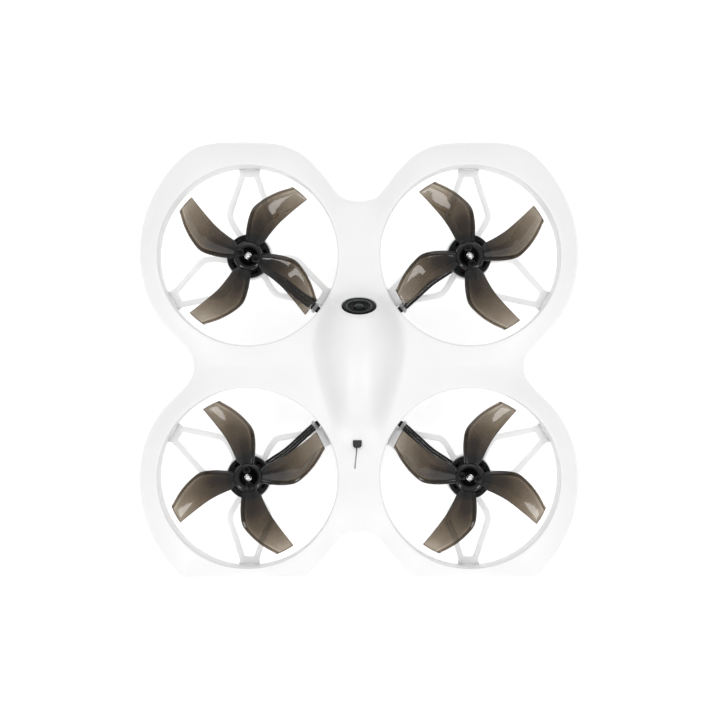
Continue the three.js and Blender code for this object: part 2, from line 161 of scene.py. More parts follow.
def mirrored(quarter):
    """A whole counter-clockwise outline from the points of its front right quarter."""
    front = quarter + [(-x, y) for x, y in reversed(quarter)]
    whole = front + [(x, -y) for x, y in reversed(front)]
    return [point for point, after in zip(whole, whole[1:] + whole[:1]) if point != after]


def round_hub(radius, degrees):
    """A point round the front right shaft, about the middle of the shafts."""
    x, y = polar(radius, degrees)
    return HALF + x, HALF + y


def added(name, data):
    """A new object in the scene."""
    obj = bpy.data.objects.new(name, data)
    bpy.context.scene.collection.objects.link(obj)
    return obj


def piece(name, verts, faces, centre=(0, 0), smooth=True):
    """A mesh object from points in millimetres about a centre in plan."""
    mesh = bpy.data.meshes.new(name)
    placed = [((x + centre[0]) * MM, (y + centre[1] + MIDDLE_Y) * MM, z * MM) for x, y, z in verts]
    mesh.from_pydata(placed, [], [tuple(face) for face in faces])
    bm = bmesh.new()
    bm.from_mesh(mesh)
    bmesh.ops.remove_doubles(bm, verts=bm.verts, dist=1e-7)
    bmesh.ops.recalc_face_normals(bm, faces=bm.faces)
    bm.to_mesh(mesh)
    bm.free()
    mesh.polygons.foreach_set("use_smooth", [smooth] * len(mesh.polygons))
    return added(name, mesh)


def applied(obj):
    """Turns an object's modifiers into its mesh."""
    graph = bpy.context.evaluated_depsgraph_get()
    graph.update()
    mesh = bpy.data.meshes.new_from_object(obj.evaluated_get(graph))
    obj.modifiers.clear()
    obj.data = mesh
    return obj


def joined(obj, other, operation):
    """A boolean of two objects, applied; the other is removed."""
    step = obj.modifiers.new("boolean", "BOOLEAN")
    step.object = other
    step.operation = operation
    step.solver = "EXACT"
    applied(obj)
    bpy.data.objects.remove(other)
    return obj


def cut(obj, part, centre=(0, 0)):
    """An object with a closed part taken out of it."""
    return joined(obj, piece("cutter", *part, centre=centre), "DIFFERENCE")


def bevelled(obj, width, segments=2, angle=35):
    bevel = obj.modifiers.new("bevel", "BEVEL")
    bevel.width = width * MM
    bevel.segments = segments
    bevel.limit_method = "ANGLE"
    bevel.angle_limit = math.radians(angle)
    bevel.harden_normals = True
    return applied(obj)


def turned(profile, segments):
    """Verts and faces of [radius, height] points turned about Z. Points on the axis close it."""
    verts, faces, rows = [], [], []
    for radius, z in profile:
        if radius < 1e-6:
            rows.append([len(verts)] * segments)
            verts.append((0, 0, z))
            continue
        rows.append(range(len(verts), len(verts) + segments))
        for i in range(segments):
            x, y = polar(radius, 360 * i / segments)
            verts.append((x, y, z))
    for low, high in zip(rows, rows[1:]):
        for i in range(segments):
            j = (i + 1) % segments
            corners = []
            for index in (low[i], low[j], high[j], high[i]):
                if index not in corners:
                    corners.append(index)
            faces.append(corners)
    return verts, faces


def closed_ring(profile, segments):
    return turned([*profile, profile[0]], segments)


def lofted(rows):
    """Verts and faces of a skin through rows of as many points each, closed at both ends."""
    sides = len(rows[0])
    verts = [point for row in rows for point in row]
    faces = []
    for low in range(0, len(verts) - sides, sides):
        for k in range(sides):
            m = (k + 1) % sides
            faces.append((low + k, low + m, low + sides + m, low + sides + k))
    faces += [tuple(range(sides)), tuple(range(len(verts) - sides, len(verts)))]
    return verts, faces


def swept(path, section):
    """Verts and faces of a section of (across, up) points carried along a path, with ends."""
    path = [Vector(p) for p in path]
    rows = []
    for before, here, after in zip([path[0], *path], path, [*path[1:], path[-1]]):
        ahead = (after - before).normalized()
        across = ahead.cross(Vector((0, 0, 1)))
        across = across.normalized() if across.length > 1e-4 else Vector((1, 0, 0))
        up = across.cross(ahead)
        rows.append([tuple(here + across * a + up * b) for a, b in section])
    return lofted(rows)


def round_section(radius, sides=12):
    return [polar(radius, 360 * k / sides) for k in range(sides)]


def merged(*parts):
    """Several (verts, faces) as one."""
    verts, faces = [], []
    for more_verts, more_faces in parts:
        start = len(verts)
        verts += list(more_verts)
        faces += [tuple(start + i for i in face) for face in more_faces]
    return verts, faces


def moved(part, x=0, y=0, turn=0):
    """A part turned about Z and then moved in plan."""
    verts, faces = part
    c, s = polar(1, turn)
    return [(c * px - s * py + x, s * px + c * py + y, z) for px, py, z in verts], faces


def block(low, high):
    """A box between two corners."""
    outline = [(low[0], low[1]), (high[0], low[1]), (high[0], high[1]), (low[0], high[1])]
    return raised(outline, low[2], high[2])


def raised(outline, low, high):
    """An outline of (x, y) points raised between two heights."""
    count = len(outline)
    verts = [(x, y, low) for x, y in outline] + [(x, y, high) for x, y in outline]
    faces = [tuple(range(count)), tuple(range(count, 2 * count))]
    for i in range(count):
        j = (i + 1) % count
        faces.append((i, j, count + j, count + i))
    return verts, faces


# ---- materials ----

def ramp_node(tree, source, stops):
    """A ramp over a value, from stops of a position and a grey or a colour."""
    node = tree.nodes.new("ShaderNodeValToRGB")
    ramp = node.color_ramp
    while len(ramp.elements) < len(stops):
        ramp.elements.new(0.5)
    for element, (position, value) in zip(ramp.elements, stops):
        element.position = position
        element.color = (value, value, value, 1) if isinstance(value, float) else (*value, 1)
    tree.links.new(source, node.inputs["Fac"])
    return node.outputs["Color"]


class Nodes:
    """A new material with its Principled shader, and short calls for the nodes that feed it."""

    def __init__(self, name):
        self.material = bpy.data.materials.new(name)
        self.material.use_nodes = True
        self.tree = self.material.node_tree
        self.shader = self.tree.nodes["Principled BSDF"]
        self.place = self.tree.nodes.new("ShaderNodeTexCoord").outputs["Object"]

    def set(self, **values):
        for name, value in values.items():
            self.shader.inputs[name.replace("_", " ")].default_value = value

    def link(self, source, target):
        self.tree.links.new(source, target)

    def noise(self, scale, detail=4.0, roughness=0.55):
        """Noise whose scale is in features per metre."""
        node = self.tree.nodes.new("ShaderNodeTexNoise")
        node.inputs["Scale"].default_value = scale
        node.inputs["Detail"].default_value = detail
        node.inputs["Roughness"].default_value = roughness
        self.link(self.place, node.inputs["Vector"])
        return node.outputs["Fac"]

    def bump(self, height, strength, distance):
        node = self.tree.nodes.new("ShaderNodeBump")
        node.inputs["Strength"].default_value = strength
        node.inputs["Distance"].default_value = distance
        self.link(height, node.inputs["Height"])
        self.link(node.outputs["Normal"], self.shader.inputs["Normal"])

    def feed(self, name, source):
        self.link(source, self.shader.inputs[name])


NOISE_LOW, NOISE_HIGH = 0.3, 0.7      # between which noise mostly lies
GRAIN_DEPTH = 0.00004                 # metres


def drift(made, scale, low, high, detail=4.0):
    """A colour or a grey that drifts between two values over a surface."""
    stops = ((NOISE_LOW, low), (NOISE_HIGH, high))
    return ramp_node(made.tree, made.noise(scale, detail), stops)


def varied(name, dark, light, rough, grain, bump, metallic=0.0, scale=900.0, **more):
    """A surface whose colour, roughness and fine relief drift a little from place to place."""
    made = Nodes(name)
    made.set(Metallic=metallic, **more)
    made.feed("Base Color", drift(made, scale / 4, dark, light, 3.0))
    made.feed("Roughness", drift(made, scale, *rough))
    made.bump(made.noise(grain, 2.0), bump, GRAIN_DEPTH)
    return made.material


# Colours for the propellers' mark, from clear to black: the smoke's tint together with its painted
# highlight and shade lines.
SMOKE_STOPS = ((0.0, (0.6, 0.57, 0.53)), (0.2, (0.36, 0.315, 0.255)), (0.35, (0.19, 0.153, 0.113)),
               (0.5, (0.09, 0.066, 0.042)), (0.7, (0.022, 0.014, 0.008)), (0.97, (0, 0, 0)))
SMOKE_CLOUD = 0.14              # how much the darkness drifts
SHELL_WHITE = varied("white_shell_plastic", (0.86, 0.857, 0.86), (0.885, 0.882, 0.885),
                     (0.38, 0.46), 9000.0, 0.12, scale=260.0)
# The shell's white plastic, painted a little lighter on the struts to make up for the shade the ducts and
# propellers cast on them.
LIGHTENED_STRUT_WHITE = varied("white_plastic_painted_lighter_on_struts", 0.88, 0.9, (0.38, 0.46), 9000.0, 0.12, scale=260.0,
                     Subsurface_Weight=1.0, Subsurface_Scale=0.008, Subsurface_Radius=(1, 1, 1))
BLACK_PLASTIC = varied("black_moulded_plastic", (0.012, 0.0125, 0.013), (0.026, 0.027, 0.027),
                       (0.36, 0.5), 6000.0, 0.25)
LENS_BLACK = varied("matt_lens_black", (0.003, 0.0035, 0.0035), (0.007, 0.008, 0.0078),
                    (0.3, 0.38), 6000.0, 0.1, Specular_IOR_Level=0.12)
LENS_RING = varied("dark_anodised_lens_ring", (0.06, 0.068, 0.066), (0.1, 0.11, 0.107),
                   (0.3, 0.38), 6000.0, 0.1, metallic=1.0)
MOTOR_BLACK = varied("black_anodised_metal", (0.012, 0.013, 0.013), (0.03, 0.031, 0.031),
                     (0.26, 0.4), 8000.0, 0.15, metallic=0.75)
STEEL = varied("ground_steel", (0.76, 0.76, 0.77), (0.84, 0.84, 0.85), (0.34, 0.4), 7000.0, 0.0,
               metallic=1.0)
DULL_STEEL = varied("dull_spring_steel", 0.3, 0.42, (0.35, 0.5), 7000.0, 0.1, metallic=0.6)
BRASS = varied("plated_brass_contact", (0.5, 0.36, 0.14), (0.66, 0.5, 0.22), (0.2, 0.35), 6000.0, 0.1,
               metallic=1.0)
SCREW_STEEL = varied("blackened_screw_steel", 0.012, 0.03, (0.25, 0.4), 7000.0, 0.1, metallic=1.0)
WINDING = varied("enamelled_copper_winding", (0.05, 0.02, 0.01), (0.12, 0.05, 0.022),
                 (0.25, 0.4), 4200.0, 0.6, metallic=0.9)
WIRE_BLACK = varied("black_silicone_wire", 0.006, 0.014, (0.6, 0.75), 5000.0, 0.2)
BOARD_GREEN = varied("circuit_board_mask", (0.008, 0.03, 0.02), (0.014, 0.055, 0.035),
                     (0.3, 0.42), 2600.0, 0.5)
BATTERY_FILM = varied("battery_film", (0.028, 0.03, 0.036), (0.05, 0.053, 0.062),
                      (0.28, 0.45), 700.0, 0.6)


def smoked_plastic():
    """Clear brown-grey plastic, as dark in each place as the piece's mark says: its own smoky tint, with
    painted highlight and shade lines on the blades.
    """
    made = Nodes("smoked_clear_plastic_with_painted_light")
    made.set(IOR=1.48, Transmission_Weight=1.0, Roughness=0.05)
    mark = made.tree.nodes.new("ShaderNodeAttribute")
    mark.attribute_name = "tint_and_painted_light"
    cloudy = made.tree.nodes.new("ShaderNodeMath")
    cloudy.operation = "MULTIPLY_ADD"
    cloudy.inputs[1].default_value = SMOKE_CLOUD
    made.link(made.noise(110.0, 2.0), cloudy.inputs[0])
    made.link(mark.outputs["Fac"], cloudy.inputs[2])
    made.feed("Base Color", ramp_node(made.tree, cloudy.outputs["Value"], SMOKE_STOPS))
    made.bump(made.noise(700.0, 2.0), 0.1, 0.00006)
    return made.material


def lens_coating():
    """Near-black glass with a faint green bloom."""
    made = Nodes("coated_lens_glass")
    made.set(IOR=1.52, Roughness=0.05, Specular_IOR_Level=0.25)
    made.feed("Base Color", drift(made, 300.0, (0.001, 0.006, 0.004), (0.002, 0.012, 0.009), 1.0))
    return made.material


SMOKE = smoked_plastic()
LENS = lens_coating()


def finish_piece(obj, material, slot, *nodes, body="airframe"):
    """Gives a piece its material, the nodes it stands for, and the body it rides on; its slot is not used.
    """
    obj.data.materials.clear()
    obj.data.materials.append(material)
    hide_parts(*nodes)
    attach(obj, body)


# ---- the view: straight above, as far off as the small tilt of the duct walls shows ----

VIEW_DISTANCE = 0.8192          # from the propellers to the camera
VIEW_LENS = 135.0
OFF_CENTRE = (0.00139, 0.00931)  # how far left and down the object sits, in picture widths
PROP_LEVEL = sum(levels("propeller_front_left")) / 2

camera_data = bpy.data.cameras.new("camera")
camera_data.lens = VIEW_LENS
camera_data.sensor_width = 36.0
camera_data.clip_start = 0.01
camera_data.shift_x, camera_data.shift_y = OFF_CENTRE
camera = added("camera", camera_data)
camera.location = (0, MIDDLE_Y * MM, PROP_LEVEL * MM + VIEW_DISTANCE)
bpy.context.scene.camera = camera

# ---- shell: one moulding of four ducts, flared rims, bridges and canopy ----

# A front duct's rim in plan: degrees from straight out sideways, towards the nose and on round to
# the notch between the two front rims, and the distance from the shaft there.
RIM = ((-51, 33.2), (-36, 33.15), (-20, 33.0), (0, 32.95), (20, 33.5), (40, 34.7), (58, 36.3),
       (70, 36.0), (83, 34.68), (95, 34.44), (107, 35.12), (119, 34.9), (132, 33.6), (146, 33.2))
NOTCH = 50.2
SIDE_NOTCH = ((NOTCH, 0), (50.45, 2.5), (52.1, 5.2))
FRONT_NOTCH = ((3.3, 50.65), (0, NOTCH))
OUTLINE_STEP = 0.9
BACK_FLAT = MIDDLE_Y - box_mm("duct_rear_right")[0].y
BACK_BLEND = 0.7
LIP_ROUND = 0.6
EDGE_ROUND = 1.15
COLLAR_ROUND = 0.3
RIM_DROP = 3.6
RIM_SKIRT = 1.9
NOTCH_SKIRT = 7.7
SKIN = 1.2
TOP_NET = (0.85, 0.55)          # spacing, and how far the lattice keeps from every loop
UNDER_NET = (1.7, 1.1)
RING_POINTS = 160
OPENING_POINTS = 72


def shell_outline():
    """The whole outline in plan, with the rear rims cut square."""
    around = [round_hub(radius, degrees) for degrees, radius in RIM]
    controls = mirrored([*SIDE_NOTCH, *around, *FRONT_NOTCH])
    loop = evenly(catmull(controls, 10, closed=True), OUTLINE_STEP)
    loop[:, 1] = smooth_max(loop[:, 1], -BACK_FLAT, BACK_BLEND)
    loop[:, 1] = np.maximum(loop[:, 1], -BACK_FLAT)
    return evenly(loop, OUTLINE_STEP)


OUTLINE = shell_outline()
HUBS = np.array([hub_of(corner) for corner in CORNERS])

# The lens looks out of a round opening in a face square to it.
LENS_TILT = math.radians(31)
LENS_AXIS = np.array([0, math.cos(LENS_TILT), math.sin(LENS_TILT)])
LENS_CENTRE = np.array([0, 18.3, 34.5])
OPENING_RADIUS = 5.2
FACE_SINK = 0.35                # from the lens's middle back to the face round it
COLLAR = {"radius": 6.4, "width": 0.9, "rise": 0.9}

# The canopy from rear to front: place along the body, crown above the ducts' top, half width.
CANOPY = ((-34, -4.5, 5.0), (-29, -2.6, 5.6), (-24, -0.5, 6.4), (-19, 2.6, 7.4), (-14, 6.0, 8.8),
          (-6, 9.9, 10.9), (2, 11.9, 12.6), (7, 12.05, 13.0), (12, 11.1, 12.5), (17, 9.0, 11.0),
          (22, 5.0, 8.8), (27, -1.0, 7.0))
CANOPY_SINK = 1.4               # how far its flanks reach below the ducts' top
CANOPY_CURVE = 2.3
BEYOND_SLOPE = 2.2
FACE_BLEND = 1.4
CANOPY_BLEND = 5.0
RIM_CURVE = 1.25


def canopy_height(x, y):
    """The teardrop dome over the camera and electronics."""
    place, crown, half = catmull(CANOPY, 24).T
    top = np.interp(y, place, crown)
    across = np.clip(np.abs(x) / np.interp(y, place, half), 0, 1.6)
    rise = np.maximum(top + CANOPY_SINK, 0.6)
    beyond = BEYOND_SLOPE * np.maximum(across - 1, 0)
    return DUCT_TOP + top - rise * across ** CANOPY_CURVE - beyond


def lens_face(x, y):
    """The height of the face round the lens, with its raised collar."""
    plane = LENS_CENTRE[2] - FACE_SINK - (y - LENS_CENTRE[1]) / math.tan(LENS_TILT)
    across = (y - LENS_CENTRE[1]) / math.sin(LENS_TILT)
    from_collar = (np.hypot(x, across) - COLLAR["radius"]) / COLLAR["width"]
    return plane + COLLAR["rise"] * np.exp(-from_collar ** 2)


def outline_gap(points):
    """How far points lie inside the outline."""
    along = np.roll(OUTLINE, -1, axis=0) - OUTLINE
    length = (along ** 2).sum(1)
    nearest = np.full(len(points), 1e9)
    for start, step, size in zip(OUTLINE, along, length):
        t = np.clip(((points - start) @ step) / size, 0, 1)
        gap = np.linalg.norm(points - start - t[:, None] * step, axis=1)
        nearest = np.minimum(nearest, gap)
    return nearest


def shell_height(points):
    """The outer surface's height over points in plan, before its edges are rounded."""
    points = np.asarray(points, float)
    x, y = points[:, 0], points[:, 1]
    from_lip = np.min([np.hypot(x - hx, y - hy) for hx, hy in HUBS], axis=0) - DUCT_BORE
    from_edge = outline_gap(points)
    share = np.clip(from_lip, 0, None) / np.maximum(from_lip + from_edge, 1e-6)
    base = DUCT_TOP - RIM_DROP * share ** RIM_CURVE
    dome = smooth_min(canopy_height(x, y), lens_face(x, y), FACE_BLEND)
    return smooth_max(base, dome, CANOPY_BLEND)


def circle(radius, centre, count=RING_POINTS, squash=1):
    """A circle in plan, or the ellipse that a tilted one makes there."""
    angles = np.arange(count) * 2 * math.pi / count
    return np.column_stack([centre[0] + radius * np.cos(angles),
                            centre[1] + radius * squash * np.sin(angles)])


def opening_loop(radius):
    """The lens opening in plan, where a tube square to the lens meets its face."""
    return circle(radius, LENS_CENTRE, OPENING_POINTS, math.sin(LENS_TILT))


def inside(points, loop):
    """Which points lie inside a closed loop."""
    x, y = points[:, 0], points[:, 1]
    found = np.zeros(len(points), bool)
    for (ax, ay), (bx, by) in zip(loop, np.roll(loop, -1, axis=0)):
        if ay == by:
            continue
        crosses = (ay > y) != (by > y)
        found ^= crosses & (x < (bx - ax) * (y - ay) / (by - ay) + ax)
    return found


def between(points, outer, holes):
    """Which points lie inside an outer loop and outside its holes."""
    found = inside(points, outer)
    for hole in holes:
        found &= ~inside(points, hole)
    return found


def filled(outer, holes, spacing, clear):
    """A net of triangles between an outer loop and its holes. clear is how far the lattice keeps
    from every loop. Returns the points, the triangles, and the indices of each loop."""
    points, edges, spans = [], [], []
    for loop in (outer, *holes):
        start = len(points)
        points += [tuple(p) for p in loop]
        count = len(loop)
        edges += [(start + i, start + (i + 1) % count) for i in range(count)]
        spans.append((start, count))
    low, high = outer.min(0), outer.max(0)
    rows = np.arange(low[1], high[1], spacing * math.sqrt(3) / 2)
    lattice = np.array([(px + (i % 2) * spacing / 2, py) for i, py in enumerate(rows)
                        for px in np.arange(low[0], high[0], spacing)])
    lattice = lattice[between(lattice, outer, holes)]
    fixed = np.array(points)
    near = np.array([np.min(((fixed - p) ** 2).sum(1)) for p in lattice])
    points += [tuple(p) for p in lattice[near > clear ** 2]]
    found, _, triangles, origin, _, _ = delaunay_2d_cdt(
        [Vector(p) for p in points], edges, [], 0, 1e-7)
    found = np.array([tuple(p) for p in found])
    middles = np.array([found[list(t)].mean(0) for t in triangles])
    inner = between(middles, outer, holes)
    triangles = [tuple(t) for t, use in zip(triangles, inner) if use]
    index = {old: new for new, olds in enumerate(origin) for old in olds}
    rings = [[index[start + i] for i in range(count)] for start, count in spans]
    return found, triangles, rings


class Surface:
    """Points and faces, gathered ring by ring."""

    def __init__(self):
        self.verts, self.faces = [], []

    def ring(self, plan, heights):
        start = len(self.verts)
        heights = np.broadcast_to(heights, len(plan))
        self.verts += [(x, y, z) for (x, y), z in zip(plan, heights)]
        return list(range(start, len(self.verts)))

    def net(self, plan, heights, triangles, rings):
        start = self.ring(plan, heights)[0]
        self.faces += [tuple(start + i for i in face) for face in triangles]
        return [[start + i for i in ring] for ring in rings]

    def bands(self, *rings):
        for first, second in zip(rings, rings[1:]):
            for i in range(len(first)):
                j = (i + 1) % len(first)
                self.faces.append((first[i], first[j], second[j], second[i]))


def rounding(radius):
    """Steps over a rounded edge, from its flat side to its upright one: (distance in, drop)."""
    turns = [math.radians(a) for a in (72, 54, 36, 18, 0)]
    return [(radius * (1 - math.cos(a)), radius * (1 - math.sin(a))) for a in turns]


def skirt_depth(points):
    """How deep the shell's edge hangs: shallow round the rims, deep across the four notches."""
    ends = np.array([(NOTCH, 0), (-NOTCH, 0), (0, NOTCH), (0, -NOTCH)])
    near = np.min([np.hypot(*(points - end).T) for end in ends], axis=0)
    return RIM_SKIRT + (NOTCH_SKIRT - RIM_SKIRT) * (1 - smoothstep(3.5, 9.5, near))


def build_shell():
    """Top skin, underside and duct walls as one closed surface."""
    made = Surface()
    outer = inset(OUTLINE, EDGE_ROUND)
    holes = [circle(DUCT_BORE + LIP_ROUND, hub) for hub in HUBS]
    holes.append(opening_loop(OPENING_RADIUS + COLLAR_ROUND))
    plan, triangles, rings = filled(outer, holes, *TOP_NET)
    top = made.net(plan, shell_height(plan), triangles, rings)

    low_holes = [circle(DUCT_OUTER, hub) for hub in HUBS]
    low_holes.append(opening_loop(OPENING_RADIUS + 1.0))
    plan, triangles, rings = filled(outer, low_holes, *UNDER_NET)
    under = made.net(plan, shell_height(plan) - SKIN, triangles, rings)

    edge = [top[0]]
    for step, drop in rounding(EDGE_ROUND):
        loop = inset(OUTLINE, step)
        edge.append(made.ring(loop, shell_height(loop) - drop))
    skirt = shell_height(OUTLINE) - skirt_depth(OUTLINE)
    for step, rise in ((0, 0.35), (0.12, 0.1), (0.4, 0), (0.9, 0), (EDGE_ROUND, 0.15)):
        edge.append(made.ring(inset(OUTLINE, step), skirt + rise))
    made.bands(*edge, under[0])

    wall = ((DUCT_BORE, DUCT_TOP - 4), (DUCT_BORE, DUCT_TOP - 9), (DUCT_BORE, DUCT_BOTTOM + 4),
            (DUCT_BORE, DUCT_BOTTOM + 0.35), (DUCT_BORE + 0.1, DUCT_BOTTOM + 0.1),
            (DUCT_BORE + 0.35, DUCT_BOTTOM), (DUCT_OUTER - 0.35, DUCT_BOTTOM),
            (DUCT_OUTER - 0.1, DUCT_BOTTOM + 0.1), (DUCT_OUTER, DUCT_BOTTOM + 0.35),
            (DUCT_OUTER, DUCT_BOTTOM + 5), (DUCT_OUTER, DUCT_TOP - 5.5))
    for k, hub in enumerate(HUBS):
        lip = [top[k + 1]]
        for step, drop in rounding(LIP_ROUND):
            loop = circle(DUCT_BORE + step, hub)
            lip.append(made.ring(loop, shell_height(loop) - drop))
        lip += [made.ring(circle(radius, hub), z) for radius, z in wall]
        made.bands(*lip, under[k + 1])

    collar = [top[-1]]
    for step, drop in rounding(COLLAR_ROUND) + [(0, 2.2)]:
        loop = opening_loop(OPENING_RADIUS + step)
        face = np.column_stack([loop, shell_height(loop)]) - LENS_AXIS * drop
        collar.append(made.ring(face[:, :2], face[:, 2]))
    back = np.array(made.verts)[under[-1]] - LENS_AXIS * 1.2
    made.bands(*collar, made.ring(back[:, :2], back[:, 2]), under[-1])
    return piece("outer_shell", made.verts, made.faces)


shell_nodes = ["canopy"] + ["duct_" + corner for corner in CORNERS]
finish_piece(build_shell(), SHELL_WHITE, "white_shell", *shell_nodes)

# ---- hull: the tub between the ducts that holds the electronics, and ribs under the bridges ----

POD_HALF = 16.0
POD_HALF_LENGTH = 22.0
CAVITY_LOW = (-8.4, -14.0)
CAVITY_HIGH = (8.4, 17.0)
CAVITY_FLOOR = 14.0
POD_TOP = 26.4
POD_OVERLAP = 0.25              # how far the tub bites into the ducts' walls
POD_STEPS = 14
SLOT_HALF = 2.5
SLOT_RISE = 2.9
RIB_LOW, RIB_HIGH = 22.6, 27.2
RIB_HALF = 0.6
CROSS_RIBS = (27, 37)


def pod_outline():
    """The tub's outline, each quarter running along a duct's outer wall."""
    reach = DUCT_OUTER - POD_OVERLAP
    side, end = POD_HALF - HALF, POD_HALF_LENGTH - HALF
    first = math.degrees(math.atan2(-math.sqrt(reach ** 2 - side ** 2), side))
    last = math.degrees(math.atan2(end, -math.sqrt(reach ** 2 - end ** 2)))
    return mirrored([round_hub(reach, degrees) for degrees in np.linspace(first, last, POD_STEPS)])


def build_tub():
    obj = piece("hull_tub", *raised(pod_outline(), DUCT_BOTTOM, POD_TOP), smooth=False)
    obj = cut(obj, block((*CAVITY_LOW, CAVITY_FLOOR), (*CAVITY_HIGH, POD_TOP + 1)))
    slot = block((20, -SLOT_HALF, MOUNT_TOP - GAP), (DUCT_OUTER + 14, SLOT_HALF, MOUNT_TOP + SLOT_RISE))
    for corner in CORNERS:
        obj = cut(obj, moved(slot, turn=mirrored_angle(SLOT_ANGLE, corner)), hub_of(corner))
    return bevelled(obj, 0.35)


def build_ribs():
    """A long rib and two cross ribs under each bridge, running up into its skin."""
    ribs = [block((POD_HALF - 3, -RIB_HALF, RIB_LOW), (NOTCH - 2.2, RIB_HALF, RIB_HIGH))]
    for place in CROSS_RIBS:
        side = HALF - math.sqrt(DUCT_OUTER ** 2 - (place - HALF) ** 2) + 0.2
        ribs.append(block((place - 0.5, -side, RIB_LOW + 1), (place + 0.5, side, RIB_HIGH)))
    parts = [moved(rib, turn=turn) for turn in (0, 90, 180, 270) for rib in ribs]
    return bevelled(piece("bridge_ribs", *merged(*parts), smooth=False), 0.15, 1)


# ---- motor mounts: forked struts moulded round the foot of each duct ----

MOUNT_BOTTOM, MOUNT_TOP = levels("motor_mount_front_left")
MOUNT_RADIUS = 7.2
STRUT_ANGLES = (90, 210, -28)   # at the front left, as are the angles of slots and cables
SLOT_ANGLE = -37.5
STRUT_SIDE = ((5.9, 2.3), (9.6, 4.8), (12.5, 6.05), (15.2, 5.5), (20.0, 3.9), (25.6, 2.05))
LEG_WIDTH = 1.9
ROOT_HALF = 3.0
ROOT_FROM = 24.6
ROOT_FLARE = (-0.2, 0.4)        # how much wider the root is at its start and at its end
MOUNT_HOLE = 2.2
MOUNT_VOXEL = 0.26
CLIP_FROM, CLIP_TO = 24.9, 26.1
CLIP_HALF = 1.7
CLIP_THICK = 0.5


def ribbon(path, width, low, high):
    """A bent bar of one width along a path in plan."""
    side = leftward(path) * width / 2
    outline = np.vstack([path - side, (path + side)[::-1]])
    return raised(outline, low, high)


def forked_strut(low, high):
    parts = []
    for side in (1, -1):
        controls = [(x, y * side) for x, y in STRUT_SIDE]
        parts.append(ribbon(catmull(controls, 8), LEG_WIDTH, low, high))
    start, end = (ROOT_HALF + flare for flare in ROOT_FLARE)
    root_end = DUCT_BORE - GAP + 0.1
    parts.append(raised([(ROOT_FROM, -start), (root_end, -end), (root_end, end), (ROOT_FROM, start)],
                        low, high))
    return merged(*parts)


def cable_clip(corner):
    """A small bridge that holds the motor's wires down where they reach the duct."""
    top = WIRE_LEVEL + WIRE_RADIUS + 0.1
    parts = [block((CLIP_FROM, -CLIP_HALF, top), (CLIP_TO, CLIP_HALF, top + 0.6))]
    parts += [block((CLIP_FROM, y, MOUNT_BOTTOM + 0.6), (CLIP_TO, y + CLIP_THICK, top + 0.3))
              for y in (-CLIP_HALF, CLIP_HALF - CLIP_THICK)]
    return moved(merged(*parts), turn=mirrored_angle(SLOT_ANGLE, corner))


def build_mount(corner):
    low, high = MOUNT_BOTTOM + 0.05, MOUNT_TOP - 0.05
    disc = closed_ring([(MOUNT_HOLE, low), (MOUNT_RADIUS, low), (MOUNT_RADIUS, high),
                        (MOUNT_HOLE, high)], 48)
    arms = [moved(forked_strut(low, high), turn=mirrored_angle(angle, corner))
            for angle in STRUT_ANGLES]
    solid = merged(disc, *arms, cable_clip(corner))
    obj = piece("strut_frame_" + corner, *solid, centre=hub_of(corner))
    remesh = obj.modifiers.new("remesh", "REMESH")
    remesh.mode = "VOXEL"
    remesh.voxel_size = MOUNT_VOXEL * MM
    remesh.use_smooth_shade = True
    soften = obj.modifiers.new("soften", "SMOOTH")
    soften.factor = 0.5
    soften.iterations = 6
    return applied(obj)


# ---- motors ----

BELL_BOTTOM, BELL_TOP = levels("motor_bell_front_left")
BELL_RADIUS = 6.7
VENTS = 9
CELLS_PER_VENT = 12
VENT_CELLS = 7
TOP_RADII = (1.05, 2.6, 4.7, 5.1, 5.55, BELL_RADIUS - 0.15)
VENT_RINGS = (2, 3)


def vented_top(low, high):
    """The bell's flat top as a ring of cells, with a vent left out between each pair of spokes."""
    steps = VENTS * CELLS_PER_VENT
    cells = {(k, i) for k in range(len(TOP_RADII) - 1) for i in range(steps)
             if not (k in VENT_RINGS and i % CELLS_PER_VENT < VENT_CELLS)}
    verts, faces, index = [], [], {}

    def corner_at(k, i, z):
        key = (k, i % steps, z)
        if key not in index:
            index[key] = len(verts)
            verts.append((*polar(TOP_RADII[k], 360 * i / steps), z))
        return index[key]

    for k, i in sorted(cells):
        around = ((k, i), (k + 1, i), (k + 1, i + 1), (k, i + 1))
        for z in (low, high):
            faces.append(tuple(corner_at(a, b, z) for a, b in around))
        beside = ((k, i - 1), (k + 1, i), (k, i + 1), (k - 1, i))
        for (nk, ni), a, b in zip(beside, around, around[1:] + around[:1]):
            if (nk, ni % steps) not in cells:
                faces.append((corner_at(*a, low), corner_at(*b, low),
                              corner_at(*b, high), corner_at(*a, high)))
    return verts, faces


def build_bell(corner):
    skirt = closed_ring([
        (BELL_RADIUS - 0.75, BELL_BOTTOM), (BELL_RADIUS - 0.12, BELL_BOTTOM),
        (BELL_RADIUS, BELL_BOTTOM + 0.15), (BELL_RADIUS, BELL_TOP - 0.75),
        (BELL_RADIUS - 0.12, BELL_TOP - 0.4), (BELL_RADIUS - 0.4, BELL_TOP - 0.1),
        (BELL_RADIUS - 0.8, BELL_TOP), (BELL_RADIUS - 0.8, BELL_TOP - 0.9),
    ], 96)
    top = vented_top(BELL_TOP - 0.95, BELL_TOP - 0.02)
    obj = piece("motor_bell_shell_" + corner, *merged(top, skirt), centre=hub_of(corner))
    return bevelled(obj, 0.08)


def build_base(corner):
    radius = BELL_RADIUS - 0.4
    low, high = levels("motor_base_" + corner)
    profile = [(1.1, low), (radius - 0.15, low), (radius, low + 0.15), (radius, low + 0.75),
               (radius - 0.2, low + 0.95), (5.6, high - 0.1), (5.4, high), (1.1, high)]
    return piece("motor_foot_" + corner, *closed_ring(profile, 72), centre=hub_of(corner))


